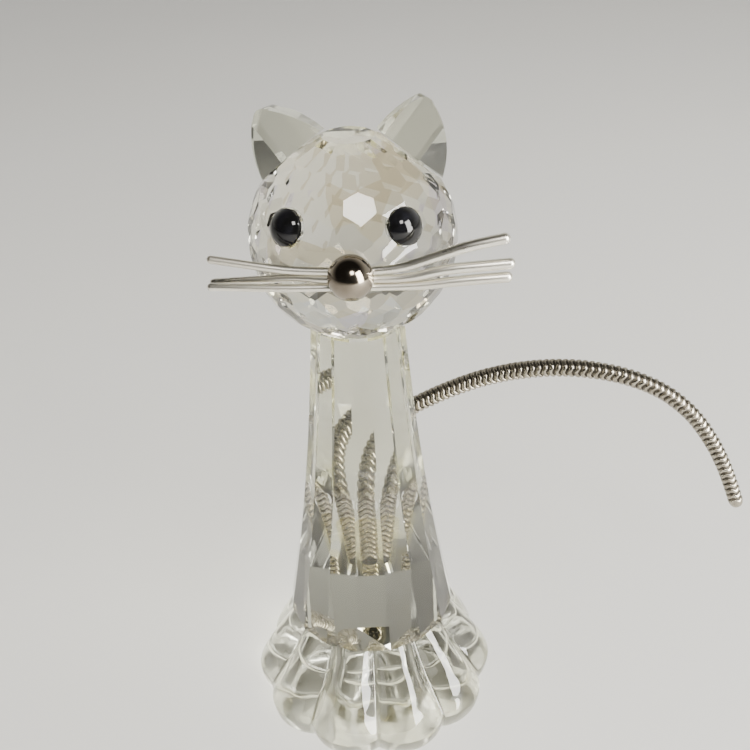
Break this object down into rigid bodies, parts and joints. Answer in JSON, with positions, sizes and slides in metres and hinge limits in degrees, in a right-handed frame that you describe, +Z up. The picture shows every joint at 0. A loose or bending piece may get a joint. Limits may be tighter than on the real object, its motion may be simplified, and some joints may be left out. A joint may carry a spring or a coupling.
{
  "type": "crystal cat figurine",
  "caption": "Faceted clear crystal cat: ball head, tapered body on a lobed base, metal whiskers and a bendable snake-chain tail.",
  "frame": {"origin": "centre of the base's underside, on the surface that the figurine stands on", "axes": "+Z up, the cat faces -Y, its tail leaves at the back (+Y) and comes round to +X"},
  "size_m": [0.06, 0.0297, 0.0731],
  "materials": {
    "crystal": "cut and polished clear lead crystal",
    "adhesive": "clear cured adhesive film",
    "black_stone": "polished opaque black cabochon",
    "nose_metal": "polished dark metal ball",
    "whisker_wire": "drawn round wire, bright",
    "tail_metal": "bright woven snake chain"
  },
  "bodies": {
    "figure": {"base": "crystal", "base_adhesive": "adhesive", "body": "crystal", "neck_adhesive": "adhesive", "head": "crystal", "ear_left": "crystal", "ear_right": "crystal", "ear_adhesive_left": "adhesive", "ear_adhesive_right": "adhesive", "eye_left": "black_stone", "eye_right": "black_stone", "eye_adhesive_left": "adhesive", "eye_adhesive_right": "adhesive", "nose": "nose_metal", "nose_adhesive": "adhesive", "whisker_upper": "whisker_wire", "whisker_middle": "whisker_wire", "whisker_lower": "whisker_wire", "tail_adhesive": "adhesive", "tail_root": "tail_metal"},
    "tail_link_01": {"tail_segment_01": "tail_metal"},
    "tail_link_02": {"tail_segment_02": "tail_metal"},
    "tail_link_03": {"tail_segment_03": "tail_metal"},
    "tail_link_04": {"tail_segment_04": "tail_metal"},
    "tail_link_05": {"tail_segment_05": "tail_metal"},
    "tail_link_06": {"tail_segment_06": "tail_metal"},
    "tail_link_07": {"tail_segment_07": "tail_metal"},
    "tail_link_08": {"tail_segment_08": "tail_metal"},
    "tail_link_09": {"tail_segment_09": "tail_metal"},
    "tail_link_10": {"tail_segment_10": "tail_metal"},
    "tail_link_11": {"tail_segment_11": "tail_metal"},
    "tail_link_12": {"tail_segment_12": "tail_metal"},
    "tail_link_13": {"tail_segment_13": "tail_metal"},
    "tail_link_14": {"tail_segment_14": "tail_metal"},
    "tail_link_15": {"tail_segment_15": "tail_metal"},
    "tail_link_16": {"tail_segment_16": "tail_metal", "tail_cap": "tail_metal"}
  },
  "joints": [
    {"name": "tail_curl_01", "type": "hinge", "parent": "figure", "child": "tail_link_01", "pos_m": [0, 0.00892, 0.02534], "axis": [-0.3546, -0.4077, 0.8415], "range_deg": [-4, 12]},
    {"name": "tail_sway_02", "type": "hinge", "parent": "tail_link_01", "child": "tail_link_02", "pos_m": [0.00067, 0.01109, 0.02657], "axis": [0.9049, -0.2885, -0.313], "range_deg": [-9, 9]},
    {"name": "tail_curl_03", "type": "hinge", "parent": "tail_link_02", "child": "tail_link_03", "pos_m": [0.00211, 0.01279, 0.02788], "axis": [0.2519, -0.8099, 0.5298], "range_deg": [-4, 12]},
    {"name": "tail_sway_04", "type": "hinge", "parent": "tail_link_03", "child": "tail_link_04", "pos_m": [0.00413, 0.01384, 0.02913], "axis": [0.533, -0.1872, -0.8252], "range_deg": [-9, 9]},
    {"name": "tail_curl_05", "type": "hinge", "parent": "tail_link_04", "child": "tail_link_05", "pos_m": [0.00639, 0.01433, 0.03029], "axis": [0.0208, -0.9798, 0.1987], "range_deg": [-4, 12]},
    {"name": "tail_sway_06", "type": "hinge", "parent": "tail_link_05", "child": "tail_link_06", "pos_m": [0.00871, 0.0144, 0.03145], "axis": [0.4459, -0.1617, -0.8803], "range_deg": [-9, 9]},
    {"name": "tail_curl_07", "type": "hinge", "parent": "tail_link_06", "child": "tail_link_07", "pos_m": [0.01236, 0.01382, 0.03341], "axis": [-0.2597, -0.9647, 0.045], "range_deg": [-4, 12]},
    {"name": "tail_sway_08", "type": "hinge", "parent": "tail_link_07", "child": "tail_link_08", "pos_m": [0.01592, 0.01264, 0.03528], "axis": [0.3775, -0.1415, -0.9151], "range_deg": [-9, 9]},
    {"name": "tail_curl_09", "type": "hinge", "parent": "tail_link_08", "child": "tail_link_09", "pos_m": [0.01955, 0.01122, 0.03678], "axis": [-0.3497, -0.9368, 0.0086], "range_deg": [-4, 12]},
    {"name": "tail_sway_10", "type": "hinge", "parent": "tail_link_09", "child": "tail_link_10", "pos_m": [0.02341, 0.00987, 0.03768], "axis": [0.1135, -0.0618, -0.9916], "range_deg": [-9, 9]},
    {"name": "tail_curl_11", "type": "hinge", "parent": "tail_link_10", "child": "tail_link_11", "pos_m": [0.02741, 0.00866, 0.03784], "axis": [-0.2709, -0.9623, 0.0242], "range_deg": [-4, 12]},
    {"name": "tail_sway_12", "type": "hinge", "parent": "tail_link_11", "child": "tail_link_12", "pos_m": [0.0314, 0.0076, 0.03718], "axis": [-0.2629, 0.0554, -0.9632], "range_deg": [-9, 9]},
    {"name": "tail_curl_13", "type": "hinge", "parent": "tail_link_12", "child": "tail_link_13", "pos_m": [0.03516, 0.00664, 0.03561], "axis": [-0.2601, -0.9656, 0.0045], "range_deg": [-4, 12]},
    {"name": "tail_sway_14", "type": "hinge", "parent": "tail_link_13", "child": "tail_link_14", "pos_m": [0.03834, 0.00572, 0.03307], "axis": [-0.6725, 0.1889, -0.7156], "range_deg": [-9, 9]},
    {"name": "tail_curl_15", "type": "hinge", "parent": "tail_link_14", "child": "tail_link_15", "pos_m": [0.04081, 0.00483, 0.02982], "axis": [-0.3097, -0.9496, 0.0476], "range_deg": [-4, 12]},
    {"name": "tail_sway_16", "type": "hinge", "parent": "tail_link_15", "child": "tail_link_16", "pos_m": [0.04273, 0.00394, 0.02621], "axis": [-0.8552, 0.2525, -0.4527], "range_deg": [-9, 9]}
  ],
  "couplings": [
    {"joint": "tail_curl_03", "follows": "tail_curl_01", "ratio": 1},
    {"joint": "tail_sway_04", "follows": "tail_sway_02", "ratio": 1},
    {"joint": "tail_curl_05", "follows": "tail_curl_01", "ratio": 1},
    {"joint": "tail_sway_06", "follows": "tail_sway_02", "ratio": 1},
    {"joint": "tail_curl_07", "follows": "tail_curl_01", "ratio": 1},
    {"joint": "tail_sway_08", "follows": "tail_sway_02", "ratio": 1},
    {"joint": "tail_curl_09", "follows": "tail_curl_01", "ratio": 1},
    {"joint": "tail_sway_10", "follows": "tail_sway_02", "ratio": 1},
    {"joint": "tail_curl_11", "follows": "tail_curl_01", "ratio": 1},
    {"joint": "tail_sway_12", "follows": "tail_sway_02", "ratio": 1},
    {"joint": "tail_curl_13", "follows": "tail_curl_01", "ratio": 1},
    {"joint": "tail_sway_14", "follows": "tail_sway_02", "ratio": 1},
    {"joint": "tail_curl_15", "follows": "tail_curl_01", "ratio": 1},
    {"joint": "tail_sway_16", "follows": "tail_sway_02", "ratio": 1}
  ]
}
